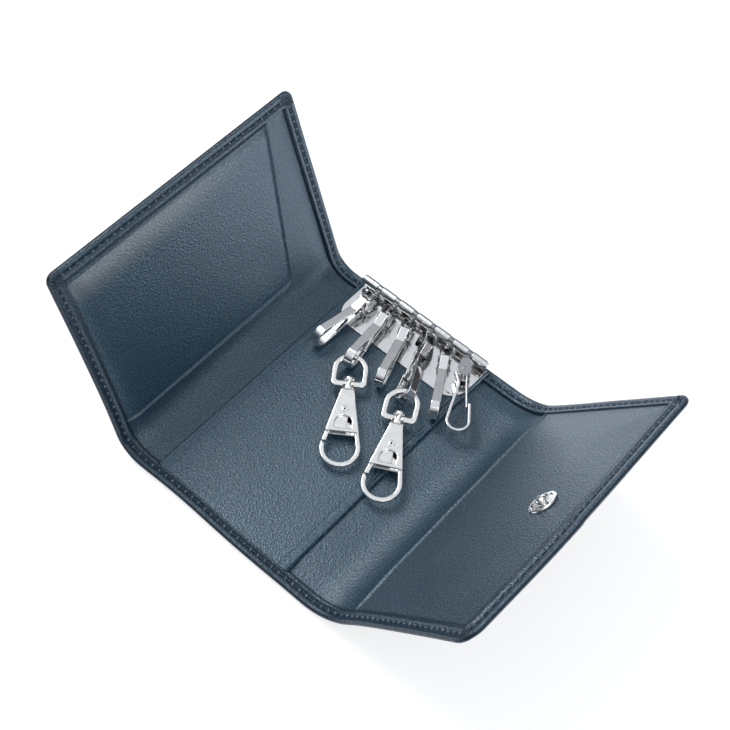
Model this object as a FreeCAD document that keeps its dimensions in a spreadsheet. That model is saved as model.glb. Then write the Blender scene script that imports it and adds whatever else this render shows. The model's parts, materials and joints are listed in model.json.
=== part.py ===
import FreeCAD, Part
import math
import os

import Sketcher
from FreeCAD import Placement, Rotation, Vector

# Key case: a trifold leather case with a six-hook key rail and two swivel clasps.
# Frame: the centre panel lies on XY with its folds along Y, the rail is at +Y,
# and the origin is on the underside of the centre panel. Millimetres and degrees.

LEFT = -1
RIGHT = 1
CCW = 1
CW = -1

DRIVING_SIZES = {
    # Leather case
    "case_length": 103.0,
    "outer_leather": 1.0,
    "core_board": 0.5,
    "lining": 0.7,
    "pocket_leather": 0.8,
    "lining_inset": 0.8,
    "hem_width": 6.0,
    "fold_end_hem": 4.0,
    "core_clearance": 0.2,
    "fold_gap": 0.05,
    "corner_radius": 4.0,
    "left_fold_x": 31.9,
    "right_fold_x": 38.15,
    "left_spine": 11.8,
    "left_flap_length": 66.3,
    "right_flap_length": 66.8,
    "left_rest_angle": 70.3,
    "right_rest_angle": 50.65,
    "patch_half_width": 28.0,
    "patch_edge_inset": 0.6,
    "patch_rail_inset": 1.5,
    "pocket_edge_inset": 0.9,
    "bill_pocket_start": 1.7,
    "bill_pocket_low_drop": 22.5,
    "bill_pocket_high_drop": 12.0,
    "card_pocket_start": 0.3,
    # Snap fastener
    "stud_reach": 45.0,
    "stud_y": 1.05,
    "stud_plate_radius": 4.8,
    "stud_plate": 0.6,
    "stud_floor": 0.25,
    "stud_rim_width": 1.0,
    "ball_radius": 1.8,
    "ball_height": 1.6,
    "ball_neck_radius": 1.35,
    "snap_post_radius": 1.4,
    "cap_radius": 6.0,
    "cap_height": 1.6,
    "cap_shoulder": 3.2,
    "cap_crown_radius": 4.8,
    "socket_radius": 5.5,
    "socket_height": 1.9,
    "socket_bore_radius": 2.0,
    "socket_rim": 0.5,
    "eyelet_radius": 3.6,
    "eyelet_flange": 0.4,
    "snap_clearance": 0.15,
    # Key rail
    "rail_centre_x": 0.5,
    "rail_plate": 0.7,
    "rail_depth": 16.7,
    "rail_corner_radius": 7.0,
    "rod_setback": 2.5,
    "rod_height": 3.4,
    "rod_radius": 0.8,
    "rod_head_radius": 1.3,
    "rod_head": 0.5,
    "barrel_radius": 1.7,
    "barrel_length": 5.8,
    "barrel_gap": 2.05,
    "rail_rivet_x": 22.5,
    "rail_rivet_setback": 3.8,
    "rail_rivet_radius": 1.0,
    "rail_rivet_flange_radius": 2.0,
    "rail_rivet_head_radius": 1.9,
    "rail_rivet_head": 0.5,
    "running_clearance": 0.05,
    # Hooks
    "hook_tilt_angle": 1.0,
    "lean_angle_1": -4.0,
    "lean_angle_2": 8.0,
    "lean_angle_3": 18.0,
    "lean_angle_4": 22.0,
    "lean_angle_5": 30.0,
    "lean_angle_6": 33.0,
    "swivel_angle_1": 0.0,
    "swivel_angle_2": 0.0,
    "swivel_angle_3": 0.0,
    "swivel_angle_4": 40.0,
    "swivel_angle_5": 0.0,
    "swivel_angle_6": -90.0,
    "tongue_width": 1.7,
    "tongue_eye_radius": 1.4,
    "tongue_neck": 2.4,
    "tongue_strip": 1.2,
    "stem_radius": 0.6,
    "stem_head_radius": 1.4,
    "stem_head": 0.6,
    "stirrup_bar_start": 0.9,
    "stirrup_bar": 0.6,
    "stirrup_width": 4.2,
    "stirrup_wall": 0.55,
    "stirrup_bar_depth": 2.4,
    "stirrup_dome_radius": 2.4,
    "pin_reach": 5.2,
    "pin_radius": 0.6,
    "pin_head": 0.35,
    "strip_width": 2.8,
    "strip": 0.8,
    "eye_width": 1.3,
    "eye_radius": 1.35,
    "ear_radius": 1.2,
    "lip_reach": 1.0,
    "lip_offset": 2.7,
    "neck_reach": 5.5,
    "neck_offset": 1.2,
    "loop_radius": 4.0,
    "loop_centre": 20.0,
    "nose_reach": 13.0,
    "nose_offset": 3.05,
    "gate_strip": 0.5,
    "gate_overlap": 1.6,
    "gate_clearance": 0.2,
    # Swivel clasps
    "clasp_hook_1": 2.0,
    "clasp_hook_2": 4.0,
    "clasp_lean_angle_1": 35.0,
    "clasp_lean_angle_2": 28.0,
    "clasp_slope_angle": 2.4,
    "clasp_hang_gap": 2.2,
    "ring_width": 11.6,
    "ring_length": 12.3,
    "ring_band": 1.5,
    "ring_bar": 1.8,
    "ring_thickness": 1.3,
    "ring_corner_radius": 1.8,
    "post_radius": 1.0,
    "post_head_radius": 2.0,
    "post_head": 1.4,
    "collar_radius": 2.3,
    "collar": 1.5,
    "post_clearance": 0.15,
    "body_length": 15.7,
    "body_thickness": 3.2,
    "clasp_flare_angle": 12.0,
    "clasp_loop_radius": 6.5,
    "clasp_loop_drop": 5.7,
    "clasp_wire": 1.4,
    "mouth_reach": 3.4,
    "mouth_undercut": 1.2,
    "window_width": 5.6,
    "window_start": 9.6,
    "window_sill": 1.2,
    "thumb_reach": 1.2,
    "clasp_gate_eye_radius": 1.4,
    "clasp_gate_thickness": 1.5,
    "clasp_gate_gap": 0.2,
    "clasp_rivet_reach": 7.4,
    "clasp_rivet_radius": 0.7,
    "clasp_rivet_bore": 0.35,
    "clasp_rivet_head_radius": 1.1,
    "clasp_rivet_head": 0.25,
}


def numbers_of(stem):
    """The numbers of the pieces that have a driving size with this stem."""
    return range(1, sum(alias.startswith(stem) for alias in DRIVING_SIZES) + 1)


HOOKS = numbers_of("lean_angle_")
CLASPS = numbers_of("clasp_lean_angle_")
BARRELS = len(HOOKS) + 1

doc = FreeCAD.newDocument("KeyCase")
sheet = doc.addObject("Spreadsheet::Sheet", "Sizes")
for row, (alias, number) in enumerate(DRIVING_SIZES.items(), start=1):
    sheet.set(f"A{row}", alias)
    sheet.set(f"B{row}", str(number))
    sheet.setAlias(f"B{row}", alias)
doc.recompute()


class Size:
    """A size: its value and the sheet expression that gives it."""

    def __init__(self, value, text):
        self.value = value
        self.text = text

    def __add__(self, other):
        other = as_size(other)
        return Size(self.value + other.value, f"({self.text} + {other.text})")

    def __sub__(self, other):
        other = as_size(other)
        return Size(self.value - other.value, f"({self.text} - {other.text})")

    def __mul__(self, other):
        other = as_size(other)
        return Size(self.value * other.value, f"({self.text} * {other.text})")

    def __truediv__(self, other):
        other = as_size(other)
        return Size(self.value / other.value, f"({self.text} / {other.text})")

    def __neg__(self):
        return Size(-self.value, f"(0 - {self.text})")


def as_size(number):
    return number if isinstance(number, Size) else Size(number, f"({number})")


def size(alias):
    return Size(float(sheet.get(alias)), f"Sizes.{alias}")


def sine(angle):
    return Size(math.sin(math.radians(angle.value)), f"sin({angle.text} * 1 deg)")


def cosine(angle):
    return Size(math.cos(math.radians(angle.value)), f"cos({angle.text} * 1 deg)")


def arc_radius(length, angle):
    """The radius of an arc from its length and its angle in degrees."""
    return length * 180 / (angle * math.pi)


ZERO = Size(0.0, "0")
HALF_TURN = as_size(180)
THREE_QUARTERS = as_size(270)
pieces = []


def bind(feature, name, amount):
    feature.setExpression(name, amount.text)


def keep(piece, label, placement=None):
    """Name a finished piece, put it in place and list it for writing."""
    piece.Label = label
    if placement:
        piece.Placement = placement
    pieces.append(piece)
    return piece


def new_body(name):
    return doc.addObject("PartDesign::Body", name)


def new_sketch(body, plane, height=None):
    """A sketch on one of the body's own planes, or above the XY plane."""
    sketch = body.newObject("Sketcher::SketchObject", f"{body.Name}Sketch")
    support = [feature for feature in body.Origin.OriginFeatures if feature.Role == plane]
    sketch.AttachmentSupport = [(support[0], "")]
    sketch.MapMode = "FlatFace"
    if height:
        bind(sketch, "AttachmentOffset.Base.z", height)
    return sketch


def hold(sketch, geo, end, x, y):
    """Hold one point of a curve at two sizes from the sketch's origin."""
    for kind, amount in (("DistanceX", x), ("DistanceY", y)):
        index = sketch.addConstraint(Sketcher.Constraint(kind, -1, 1, geo, end, amount.value))
        sketch.setExpression(f"Constraints[{index}]", amount.text)


def hold_radius(sketch, geo, radius):
    index = sketch.addConstraint(Sketcher.Constraint("Radius", geo, radius.value))
    sketch.setExpression(f"Constraints[{index}]", radius.text)


def arc_between(start, end, radius, turn):
    chord = end - start
    rise = math.sqrt(max(radius ** 2 - chord.Length ** 2 / 4, 0.0))
    across = Vector(-chord.y, chord.x, 0).normalize()
    centre = start + chord * 0.5 + across * (rise * turn)
    first, last = (start, end) if turn == CCW else (end, start)
    angles = [math.atan2(point.y - centre.y, point.x - centre.x) for point in (first, last)]
    if angles[1] < angles[0]:
        angles[1] += 2 * math.pi
    return Part.ArcOfCircle(Part.Circle(centre, Vector(0, 0, 1), radius), *angles)


def outline(sketch, corners):
    """A closed outline. A corner is (x, y), or (x, y, radius, turn) where an arc leads to it."""
    points = [Vector(corner[0].value, corner[1].value, 0) for corner in corners]
    curves = []
    for index, corner in enumerate(corners):
        start, end = points[index - 1], points[index]
        if len(corner) == 2:
            curves.append((sketch.addGeometry(Part.LineSegment(start, end)), 1, 2))
            continue
        radius, turn = corner[2], corner[3]
        geo = sketch.addGeometry(arc_between(start, end, radius.value, turn))
        hold_radius(sketch, geo, radius)
        curves.append((geo, 1, 2) if turn == CCW else (geo, 2, 1))
    for index, (geo, start, end) in enumerate(curves):
        before = curves[index - 1]
        sketch.addConstraint(Sketcher.Constraint("Coincident", before[0], before[2], geo, start))
        hold(sketch, geo, end, corners[index][0], corners[index][1])
    return sketch


def circle(sketch, x, y, radius):
    centre = Vector(x.value, y.value, 0)
    geo = sketch.addGeometry(Part.Circle(centre, Vector(0, 0, 1), radius.value))
    hold(sketch, geo, 3, x, y)
    hold_radius(sketch, geo, radius)
    return sketch


def rectangle(sketch, low, high, radii=None):
    """A rectangle; radii names the corners that are rounded, such as low_right."""
    radii = radii or {}
    (x0, y0), (x1, y1) = low, high
    corners = []
    around = (
        ("low_left", x0, y0, (0, 1), (1, 0)),
        ("low_right", x1, y0, (-1, 0), (0, 1)),
        ("high_right", x1, y1, (0, -1), (-1, 0)),
        ("high_left", x0, y1, (1, 0), (0, -1)),
    )
    for name, x, y, enter, leave in around:
        radius = radii.get(name)
        if radius is None:
            corners.append((x, y))
            continue
        corners.append((x + radius * enter[0], y + radius * enter[1]))
        corners.append((x + radius * leave[0], y + radius * leave[1], radius, CCW))
    return outline(sketch, corners)


def pad(body, sketch, length, symmetric=False):
    feature = body.newObject("PartDesign::Pad", f"{body.Name}Pad")
    feature.Profile = sketch
    feature.SideType = "Symmetric" if symmetric else "One side"
    bind(feature, "Length", length)
    return feature


def cut(body, sketch, depth=None):
    """A pocket that reaches the same way to both sides of its sketch."""
    feature = body.newObject("PartDesign::Pocket", f"{body.Name}Pocket")
    feature.Profile = sketch
    feature.SideType = "Symmetric"
    if depth is None:
        feature.Type = "ThroughAll"
    else:
        bind(feature, "Length", depth)
    return feature


def revolve(body, sketch):
    feature = body.newObject("PartDesign::Revolution", f"{body.Name}Turn")
    feature.Profile = sketch
    feature.ReferenceAxis = (sketch, ["V_Axis"])
    feature.Angle = 360
    return feature


def sheet_piece(name, low, high, base, thickness, radii=None):
    """A flat sheet: a rectangle padded up from its base height."""
    body = new_body(name)
    sketch = new_sketch(body, "XY_Plane", base)
    rectangle(sketch, low, high, radii)
    pad(body, sketch, thickness)
    return body


def punch(body, holes):
    """Round holes through a flat piece, each given as x, y and radius."""
    sketch = new_sketch(body, "XY_Plane")
    for x, y, radius in holes:
        circle(sketch, x, y, radius)
    cut(body, sketch)


# Sizes worked out from the driving ones
half_length = size("case_length") / 2
folded_leather = size("outer_leather") + size("core_board")
panel = folded_leather + size("lining")
patch_top = panel + size("pocket_leather")
plate_top = patch_top + size("rail_plate")
rod_z = plate_top + size("rod_height")
rod_y = half_length - size("rod_setback")
rail_front = rod_y - size("rail_depth")
rail_pitch = size("barrel_length") + size("barrel_gap")
rail_half_length = (rail_pitch * BARRELS - size("barrel_gap")) / 2
snap_gap = size("socket_height") + size("stud_plate") + size("snap_clearance")
left_radius = arc_radius(size("left_spine"), size("left_rest_angle"))
left_chord = left_radius * 2 * sine(size("left_rest_angle") / 2)
right_chord = left_chord + panel + snap_gap + size("pocket_leather")
right_radius = right_chord / (sine(size("right_rest_angle") / 2) * 2)
socket_reach = size("left_fold_x") + size("right_fold_x") - size("stud_reach")
strip_half = size("strip") / 2


def side_sizes(side):
    """Fold position, bend radius, rest angle and flap length of one side."""
    if side == LEFT:
        return size("left_fold_x"), left_radius, size("left_rest_angle"), size("left_flap_length")
    return size("right_fold_x"), right_radius, size("right_rest_angle"), size("right_flap_length")


def bend_end(side):
    """The far end of a fold, on the inner face of the lining."""
    fold_x, radius, angle = side_sizes(side)[:3]
    x = (fold_x + radius * sine(angle)) * side
    z = panel + radius - radius * cosine(angle)
    return Vector(x.value, 0, z.value)


def flap_placement(side):
    """A flap's own frame starts at its fold and has Z through its thickness."""
    turn = Rotation(Vector(0, 1, 0), -side * side_sizes(side)[2].value)
    return Placement(bend_end(side) - turn.multVec(Vector(0, 0, panel.value)), turn)


def rail_rivet_places():
    y = rail_front + size("rail_rivet_setback")
    return [(size("rail_centre_x") + size("rail_rivet_x") * side, y) for side in (LEFT, RIGHT)]


def make_centre():
    low_x, high_x = -size("left_fold_x"), size("right_fold_x")
    leather = sheet_piece("OuterCentre", (low_x, -half_length), (high_x, half_length),
                          ZERO, folded_leather)
    hem_x, hem_y = size("fold_end_hem"), size("hem_width")
    recess = new_sketch(leather, "XY_Plane", folded_leather)
    rectangle(recess, (low_x + hem_x, hem_y - half_length), (high_x - hem_x, half_length - hem_y))
    cut(leather, recess, size("core_board") * 2)
    keep(leather, "outer_leather_centre")

    hem_x, hem_y = hem_x + size("core_clearance"), hem_y + size("core_clearance")
    core = sheet_piece("CoreCentre", (low_x + hem_x, hem_y - half_length),
                       (high_x - hem_x, half_length - hem_y), size("outer_leather"), size("core_board"))
    flange_hole = size("rail_rivet_flange_radius") + size("running_clearance")
    punch(core, [(x, y, flange_hole) for x, y in rail_rivet_places()])
    keep(core, "core_board_centre")

    rivet_hole = size("rail_rivet_radius") + size("running_clearance")
    inset = size("lining_inset")
    lining = sheet_piece("LiningCentre", (low_x, inset - half_length), (high_x, half_length - inset),
                         folded_leather, size("lining"))
    punch(lining, [(x, y, rivet_hole) for x, y in rail_rivet_places()])
    keep(lining, "lining_centre")

    width = size("patch_half_width")
    patch = sheet_piece("KeyPatch", (-width, size("patch_edge_inset") - half_length),
                        (width, half_length - size("patch_rail_inset")), panel, size("pocket_leather"))
    punch(patch, [(x, y, rivet_hole) for x, y in rail_rivet_places()])
    keep(patch, "key_patch")


def make_fold(side, name, label, inner, thickness, inset):
    """One layer of a fold: part of a ring about the bend's centre."""
    fold_x, radius, angle = side_sizes(side)[:3]
    margin = size("fold_gap") / radius * (180 / math.pi)
    near, far = margin, angle - margin
    inside, outside = radius + inner, radius + inner + thickness

    def point(reach, turn):
        return (fold_x + reach * sine(turn)) * side, panel + radius - reach * cosine(turn)

    onward = CCW if side == RIGHT else CW
    body = new_body(name)
    profile = new_sketch(body, "XZ_Plane")
    outline(profile, [
        point(inside, near) + (inside, -onward),
        point(outside, near),
        point(outside, far) + (outside, onward),
        point(inside, far),
    ])
    pad(body, profile, (half_length - inset) * 2, symmetric=True)
    keep(body, label)


def flap_box(side, near, far, inset):
    """Low and high corners of a sheet on a flap, from its distances to fold and edges."""
    length = side_sizes(side)[3]
    inner, outer = near * side, (length - far) * side
    low_x, high_x = (outer, inner) if side == LEFT else (inner, outer)
    return (low_x, inset - half_length), (high_x, half_length - inset)


def free_corners(side, radius):
    end = "left" if side == LEFT else "right"
    return {f"low_{end}": radius, f"high_{end}": radius}


def make_flap(side, title, label, hole):
    """Outer leather, stiffener and lining of one flap, with the snap's hole."""
    place = flap_placement(side)
    gap = size("fold_gap")
    reach = (socket_reach if side == LEFT else size("stud_reach")) * side
    corner = size("corner_radius")

    leather = sheet_piece(f"Outer{title}", *flap_box(side, gap, ZERO, ZERO), ZERO, folded_leather,
                          free_corners(side, corner))
    recess = new_sketch(leather, "XY_Plane", folded_leather)
    hem, fold_hem = size("hem_width"), size("fold_end_hem")
    rectangle(recess, *flap_box(side, fold_hem, hem, hem))
    cut(leather, recess, size("core_board") * 2)
    punch(leather, [(reach, size("stud_y"), hole)])
    keep(leather, f"outer_leather_{label}", place)

    slack = size("core_clearance")
    core = sheet_piece(f"Core{title}", *flap_box(side, fold_hem + slack, hem + slack, hem + slack),
                       size("outer_leather"), size("core_board"))
    punch(core, [(reach, size("stud_y"), hole)])
    keep(core, f"core_board_{label}", place)

    inset = size("lining_inset")
    lining = sheet_piece(f"Lining{title}", *flap_box(side, gap, inset, inset), folded_leather,
                         size("lining"), free_corners(side, corner - inset))
    if side == LEFT:
        hole = size("eyelet_radius") + size("snap_clearance")
    punch(lining, [(reach, size("stud_y"), hole)])
    keep(lining, f"lining_{label}", place)


def make_bill_pocket():
    """The left pocket: sewn at the outer and lower edges, with a slanted top edge."""
    inset = size("pocket_edge_inset")
    outer = inset - size("left_flap_length")
    low = inset - half_length
    corner = size("corner_radius") - inset
    body = new_body("BillPocket")
    sketch = new_sketch(body, "XY_Plane", panel)
    outline(sketch, [
        (-size("bill_pocket_start"), low),
        (-size("bill_pocket_start"), half_length - size("bill_pocket_low_drop")),
        (outer, half_length - size("bill_pocket_high_drop")),
        (outer, low + corner),
        (outer + corner, low, corner, CCW),
    ])
    pad(body, sketch, size("pocket_leather"))
    keep(body, "bill_pocket", flap_placement(LEFT))


def make_card_pocket(hole):
    inset = size("pocket_edge_inset")
    corners = free_corners(RIGHT, size("corner_radius") - inset)
    body = sheet_piece("CardPocket", *flap_box(RIGHT, size("card_pocket_start"), inset, inset),
                       panel, size("pocket_leather"), corners)
    punch(body, [(size("stud_reach"), size("stud_y"), hole)])
    keep(body, "card_pocket", flap_placement(RIGHT))


def turned_piece(name, label, corners, side, reach):
    """A turned piece of the snap, on the axis of the snap's hole."""
    body = new_body(name)
    outline(new_sketch(body, "XZ_Plane"), corners)
    doc.recompute()
    revolve(body, body.Group[0])
    place = flap_placement(side)
    centre = Vector(reach.value * side, size("stud_y").value, 0)
    keep(body, label, place.multiply(Placement(centre, Rotation())))


def make_snap():
    post, clearance = size("snap_post_radius"), size("snap_clearance")
    base = patch_top
    plate_face = base + size("stud_plate")
    recess = size("stud_plate_radius") - size("stud_rim_width")
    ball, neck = size("ball_radius"), size("ball_neck_radius")
    ball_top = plate_face + size("ball_height")
    turned_piece("SnapStud", "snap_stud", [
        (ZERO, base),
        (size("stud_plate_radius"), base),
        (size("stud_plate_radius"), base + size("stud_plate") / 2),
        (size("stud_plate_radius") - size("stud_plate") / 2, plate_face, size("stud_plate") / 2, CCW),
        (recess, plate_face),
        (recess, base + size("stud_floor")),
        (neck, base + size("stud_floor")),
        (ball, ball_top - size("ball_height") / 2),
        (ball - size("ball_height") / 2, ball_top, size("ball_height") / 2, CCW),
        (ZERO, ball_top),
    ], RIGHT, size("stud_reach"))

    cap, drop = size("cap_radius"), size("cap_height")
    rim = drop / 2
    turned_piece("SnapCap", "snap_cap", [
        (ZERO, -drop),
        (cap - size("cap_shoulder"), -drop),
        (cap, -rim, size("cap_crown_radius"), CCW),
        (cap, ZERO),
        (post, ZERO),
        (post, base),
        (ZERO, base),
    ], RIGHT, size("stud_reach"))

    bore, height = size("socket_bore_radius"), size("socket_height")
    rim = size("socket_rim")
    turned_piece("SnapSocket", "snap_socket", [
        (bore, -height),
        (size("socket_radius") - rim, -height),
        (size("socket_radius"), rim - height, rim, CCW),
        (size("socket_radius"), ZERO),
        (bore, ZERO),
    ], LEFT, socket_reach)

    barrel = bore - clearance
    flange_top = folded_leather + size("eyelet_flange")
    turned_piece("SocketEyelet", "socket_eyelet", [
        (barrel - size("eyelet_flange"), ZERO),
        (barrel, ZERO),
        (barrel, folded_leather),
        (size("eyelet_radius"), folded_leather),
        (size("eyelet_radius"), flange_top),
        (barrel - size("eyelet_flange"), flange_top),
    ], LEFT, socket_reach)


def make_rail():
    """The rail: a plate whose rear edge stands up and rolls over into seven barrels."""
    body = new_body("RailPlate")
    front, back = rail_front, rod_y + size("barrel_radius")
    middle, half = size("rail_centre_x"), rail_half_length
    corner = size("rail_corner_radius")
    base = new_sketch(body, "XY_Plane", patch_top)
    rectangle(base, (middle - half, front), (middle + half, back),
              {"low_left": corner, "low_right": corner})
    pad(body, base, size("rail_plate"))

    bore = size("rod_radius") + size("running_clearance")
    wall = size("barrel_radius") - bore
    for barrel in range(BARRELS):
        centre = middle + rail_pitch * (barrel - (BARRELS - 1) / 2)
        low, high = centre - size("barrel_length") / 2, centre + size("barrel_length") / 2
        upright = new_sketch(body, "XY_Plane", patch_top)
        rectangle(upright, (low, back - wall), (high, back))
        pad(body, upright, rod_z - patch_top)
        roll = new_sketch(body, "YZ_Plane", centre)
        circle(roll, rod_y, rod_z, size("barrel_radius"))
        circle(roll, rod_y, rod_z, bore)
        pad(body, roll, size("barrel_length"), symmetric=True)
    hole = size("rail_rivet_radius") + size("running_clearance")
    punch(body, [(x, y, hole) for x, y in rail_rivet_places()])
    keep(body, "rail_plate")


def cylinder(radius, length, placement):
    """A Part cylinder along its own Z."""
    feature = doc.addObject("Part::Cylinder", "Cylinder")
    bind(feature, "Radius", radius)
    bind(feature, "Height", length)
    feature.Placement = placement
    return feature


def fuse(features, name):
    joined = doc.addObject("Part::MultiFuse", name)
    joined.Shapes = features
    joined.Refine = True
    return joined


ALONG_X = Rotation(Vector(0, 1, 0), 90)
ALONG_BACK = Rotation(Vector(1, 0, 0), 90)


def make_rail_rod():
    head, clearance = size("rod_head"), size("running_clearance")
    start = size("rail_centre_x") - rail_half_length - clearance
    length = (rail_half_length + clearance) * 2
    spots = (
        (size("rod_radius"), start, length),
        (size("rod_head_radius"), start - head, head),
        (size("rod_head_radius"), start + length, head),
    )
    turned = []
    for radius, x, span in spots:
        at = Vector(x.value, rod_y.value, rod_z.value)
        turned.append(cylinder(radius, span, Placement(at, ALONG_X)))
    keep(fuse(turned, "RailRod"), "rail_rod")


def make_rail_rivets():
    """Two flush rivets that clinch the plate, the patch and the lining."""
    bottom = size("outer_leather")
    shank = plate_top - bottom
    rivets = []
    for x, y in rail_rivet_places():
        spots = (
            (size("rail_rivet_flange_radius"), bottom, size("core_board")),
            (size("rail_rivet_radius"), bottom, shank),
            (size("rail_rivet_head_radius"), plate_top, size("rail_rivet_head")),
        )
        turned = []
        for radius, z, span in spots:
            turned.append(cylinder(radius, span, Placement(Vector(x.value, y.value, z.value), Rotation())))
        rivets.append(fuse(turned, "RailRivet"))
    group = doc.addObject("Part::Compound", "RailRivets")
    group.Links = rivets
    keep(group, "rail_rivets")


def lane_x(hook):
    return size("rail_centre_x") + rail_pitch * (hook - (len(HOOKS) + 1) / 2)


def lane_placement(hook):
    """A tongue's frame: on the rod, with its length along -Y and tilted up a little."""
    tilt = Rotation(Vector(1, 0, 0), -size("hook_tilt_angle").value)
    return Placement(Vector(lane_x(hook).value, rod_y.value, rod_z.value), tilt)


def lean_placement(hook):
    """A hook's frame: at the tongue's bend, leaning in the plane of the tongue."""
    lean = Rotation(Vector(0, 0, 1), size(f"lean_angle_{hook}").value)
    neck = Vector(0, -size("tongue_neck").value, 0)
    return lane_placement(hook).multiply(Placement(neck, lean))


def hook_placement(hook):
    """A stirrup's frame: the hook's frame turned on the swivel."""
    turn = Rotation(Vector(0, 1, 0), size(f"swivel_angle_{hook}").value)
    return lean_placement(hook).multiply(Placement(Vector(), turn))


def make_tongue(hook):
    """A tongue: an eye on the rod, a short neck and a headed swivel stem that leans."""
    width, neck = size("tongue_width"), size("tongue_neck")
    centred = Placement(Vector(-width.value / 2, 0, 0), ALONG_X)
    eye = cylinder(size("tongue_eye_radius"), width, centred)
    bore = cylinder(size("rod_radius") + size("running_clearance"), width, centred)
    strip = doc.addObject("Part::Box", "TongueNeck")
    bind(strip, "Length", width)
    bind(strip, "Width", neck)
    bind(strip, "Height", size("tongue_strip"))
    strip.Placement.Base = Vector(-width.value / 2, -neck.value, -size("tongue_strip").value / 2)
    bend = doc.addObject("Part::Sphere", "TongueBend")
    bind(bend, "Radius", width / 2)
    bend.Placement.Base = Vector(0, -neck.value, 0)
    lean = Placement(Vector(0, -neck.value, 0), Rotation(Vector(0, 0, 1), size(f"lean_angle_{hook}").value))
    head_start = size("stirrup_bar_start") + size("stirrup_bar") + size("running_clearance")
    stem = cylinder(size("stem_radius"), head_start, lean.multiply(Placement(Vector(), ALONG_BACK)))
    seat = Placement(Vector(0, -head_start.value, 0), ALONG_BACK)
    head = cylinder(size("stem_head_radius"), size("stem_head"), lean.multiply(seat))
    tongue = doc.addObject("Part::Cut", f"Tongue{hook}")
    tongue.Base = fuse([eye, strip, bend, stem, head], f"TongueBody{hook}")
    tongue.Tool = bore
    keep(tongue, f"hook_{hook}_tongue", lane_placement(hook))


def make_stirrup(hook):
    """A stirrup: a bar on the stem, two domed legs and the cross pin riveted through them."""
    body = new_body(f"Stirrup{hook}")
    start = size("stirrup_bar_start")
    bar_end = start + size("stirrup_bar")
    depth, dome, pin = size("stirrup_bar_depth") / 2, size("stirrup_dome_radius"), size("pin_reach")
    legs = new_sketch(body, "YZ_Plane")
    outline(legs, [
        (-start, -depth),
        (-start, depth),
        (-pin, dome),
        (-(pin + dome), ZERO, dome, CCW),
        (-pin, -dome, dome, CCW),
    ])
    pad(body, legs, size("stirrup_width"), symmetric=True)
    mouth = new_sketch(body, "YZ_Plane")
    past = pin + dome * 2
    rectangle(mouth, (-past, -dome * 2), (-bar_end, dome * 2))
    cut(body, mouth, size("stirrup_width") - size("stirrup_wall") * 2)
    stem_hole = new_sketch(body, "XZ_Plane")
    circle(stem_hole, ZERO, ZERO, size("stem_radius") + size("running_clearance"))
    cut(body, stem_hole)
    rivet = new_sketch(body, "YZ_Plane")
    circle(rivet, -pin, ZERO, size("pin_radius"))
    pad(body, rivet, size("stirrup_width") + size("pin_head") * 2, symmetric=True)
    keep(body, f"hook_{hook}_stirrup", hook_placement(hook))


def hook_point(reach, offset):
    """A point of a hook's side view: reach from the pin, offset across the hook."""
    return -(size("pin_reach") + reach), offset


def make_loop(hook):
    """A hook: a flat strip bent from a thumb lip into a pear-shaped loop, open at its nose."""
    body = new_body(f"Loop{hook}")
    half = strip_half
    centre, radius = size("loop_centre"), size("loop_radius")
    inner = radius - size("strip")
    lip, flare = size("lip_reach"), size("lip_offset")
    neck, waist = size("neck_reach"), size("neck_offset")
    nose, open_at = size("nose_reach"), size("nose_offset")
    strip = new_sketch(body, "YZ_Plane")
    outline(strip, [
        hook_point(lip, flare + half),
        hook_point(neck, waist + half),
        hook_point(centre, radius),
        hook_point(centre + radius, ZERO) + (radius, CCW),
        hook_point(centre, -radius) + (radius, CCW),
        hook_point(nose, -(open_at + half)),
        hook_point(nose, half - open_at),
        hook_point(centre, -inner),
        hook_point(centre + inner, ZERO) + (inner, CW),
        hook_point(centre, inner) + (inner, CW),
        hook_point(neck, waist - half),
        hook_point(lip + half, flare - half),
        hook_point(lip, flare - half),
    ])
    pad(body, strip, size("strip_width"), symmetric=True)

    eye = size("eye_radius")
    link = new_sketch(body, "YZ_Plane")
    outline(link, [
        hook_point(-half, ZERO),
        hook_point(lip, flare + half),
        hook_point(lip + half, flare),
        hook_point(half, ZERO),
    ])
    pad(body, link, size("eye_width"), symmetric=True)
    ring = new_sketch(body, "YZ_Plane")
    circle(ring, *hook_point(ZERO, ZERO), eye)
    pad(body, ring, size("eye_width"), symmetric=True)
    bore = new_sketch(body, "YZ_Plane")
    circle(bore, *hook_point(ZERO, ZERO), size("pin_radius") + size("running_clearance"))
    cut(body, bore)
    keep(body, f"hook_{hook}_loop", hook_placement(hook))


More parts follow.
